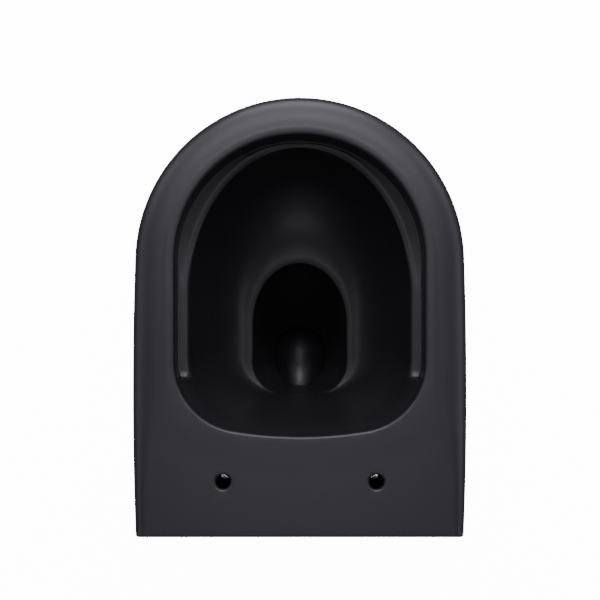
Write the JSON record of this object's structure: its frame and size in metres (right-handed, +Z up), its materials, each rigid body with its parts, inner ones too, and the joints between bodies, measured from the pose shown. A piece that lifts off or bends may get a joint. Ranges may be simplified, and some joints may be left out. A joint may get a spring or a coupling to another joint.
{
  "type": "wall-hung toilet pan",
  "caption": "Rimless wall-hung toilet pan in black satin glaze, with its trap, spigot, flush inlet and concealed wall fixings clamped from above through the seat-hinge holes.",
  "frame": {"origin": "midway between the two wall studs, on the wall plane", "axes": "+Z up, +Y out of the back of the pan into the wall, round front towards -Y, x = 0 the plane of symmetry"},
  "size_m": [0.358, 0.471, 0.335],
  "materials": {
    "glaze": "satin black glaze",
    "moulding": "moulded grey",
    "alloy": "die cast, black coated",
    "steel": "zinc plated"
  },
  "bodies": {
    "pan": {"rim_casting": "glaze", "bowl_casting": "glaze", "trap_casting": "glaze", "outlet_spigot": "glaze", "outer_skirt": "glaze", "back_web": "glaze", "inlet_horn": "glaze", "flush_box": "glaze", "flush_shroud": "glaze", "flush_channel_left": "glaze", "flush_channel_right": "glaze", "clamp_shelf_left": "glaze", "clamp_shelf_right": "glaze", "flush_distributor": "moulding", "hole_sleeve_left": "moulding", "hole_sleeve_right": "moulding", "shelf_pad_left": "moulding", "shelf_pad_right": "moulding", "fixing_block_left": "alloy", "fixing_block_right": "alloy", "stud_washers": "steel", "stud_nuts": "steel"},
    "foot_left": {"clamp_foot_left": "alloy"},
    "foot_right": {"clamp_foot_right": "alloy"},
    "screw_left": {"clamp_screw_left": "steel"},
    "screw_right": {"clamp_screw_right": "steel"}
  },
  "joints": [
    {"name": "foot_left_lift", "type": "slide", "parent": "pan", "child": "foot_left", "axis": [0, 0, 1], "range_m": [0, 0.0062]},
    {"name": "screw_left_turn", "type": "hinge", "parent": "foot_left", "child": "screw_left", "pos_m": [-0.082, -0.0595, 0], "axis": [0, 0, 1], "range_deg": [0, 1440]},
    {"name": "foot_right_lift", "type": "slide", "parent": "pan", "child": "foot_right", "axis": [0, 0, 1], "range_m": [0, 0.0062]},
    {"name": "screw_right_turn", "type": "hinge", "parent": "foot_right", "child": "screw_right", "pos_m": [0.082, -0.0595, 0], "axis": [0, 0, 1], "range_deg": [0, 1440]}
  ],
  "couplings": [
    {"joint": "foot_left_lift", "follows": "screw_left_turn", "m_per_rad": 0.00023873},
    {"joint": "foot_right_lift", "follows": "screw_right_turn", "m_per_rad": 0.00023873}
  ]
}
